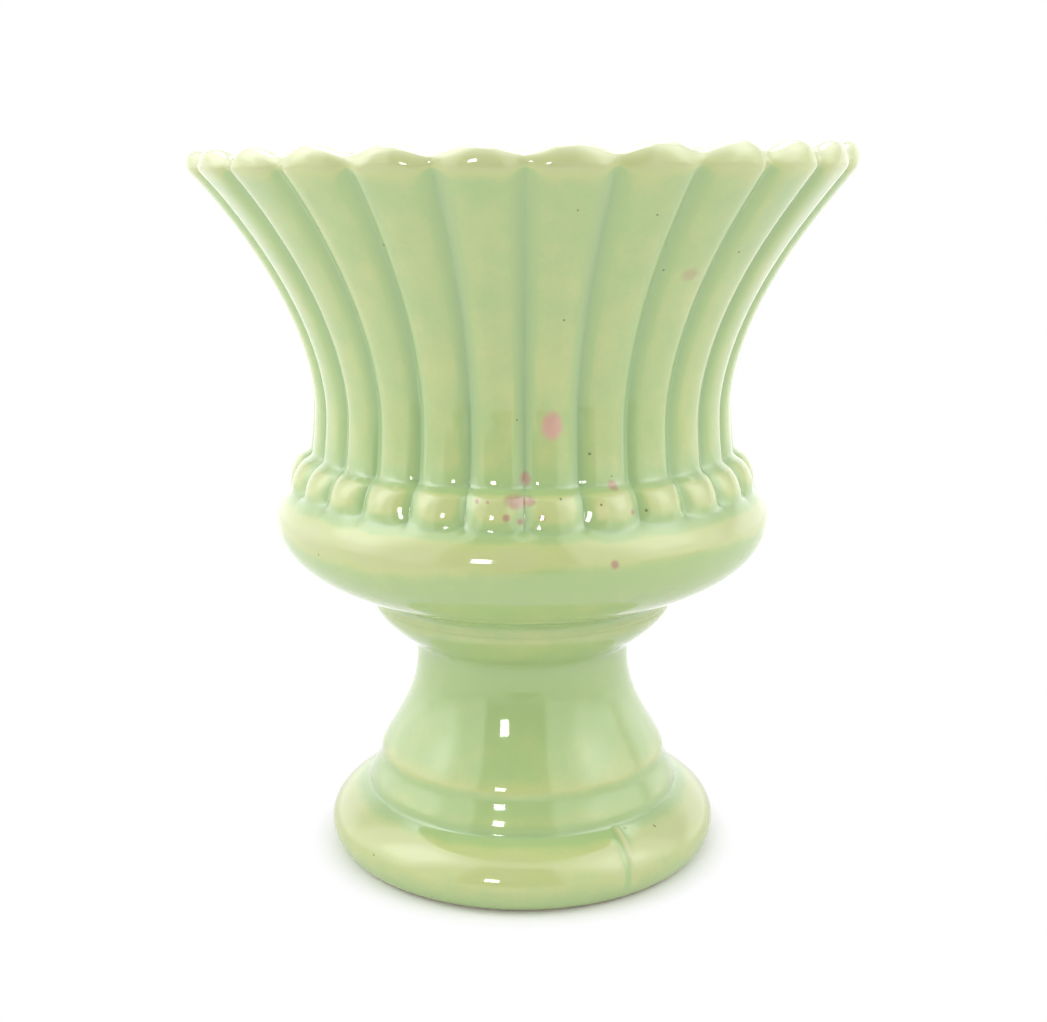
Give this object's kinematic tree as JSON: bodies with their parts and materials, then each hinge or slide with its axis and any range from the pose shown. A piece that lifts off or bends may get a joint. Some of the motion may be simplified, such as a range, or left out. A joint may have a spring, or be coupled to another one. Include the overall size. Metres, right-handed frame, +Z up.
{
  "type": "fluted pedestal vase",
  "caption": "Green-glazed earthenware flower vase: a ribbed, flared bowl with a scalloped rim and round belly, stuck onto a waisted hollow pedestal with a rounded foot.",
  "frame": {"origin": "centre of the foot ring's flat underside, on the surface the vase stands on", "axes": "+Z up along the vase's axis of revolution; the pictured front, with a groove at its middle, faces -Y; +X is to the right of the front"},
  "size_m": [0.1362, 0.136, 0.1517],
  "materials": {
    "green_glaze_bowl": "gloss",
    "green_glaze_pedestal": "gloss",
    "bare_clay": "matte"
  },
  "bodies": {
    "root": {"fluted_bowl": "green_glaze_bowl", "pedestal": "green_glaze_pedestal", "joint_slip": "bare_clay"}
  },
  "joints": []
}
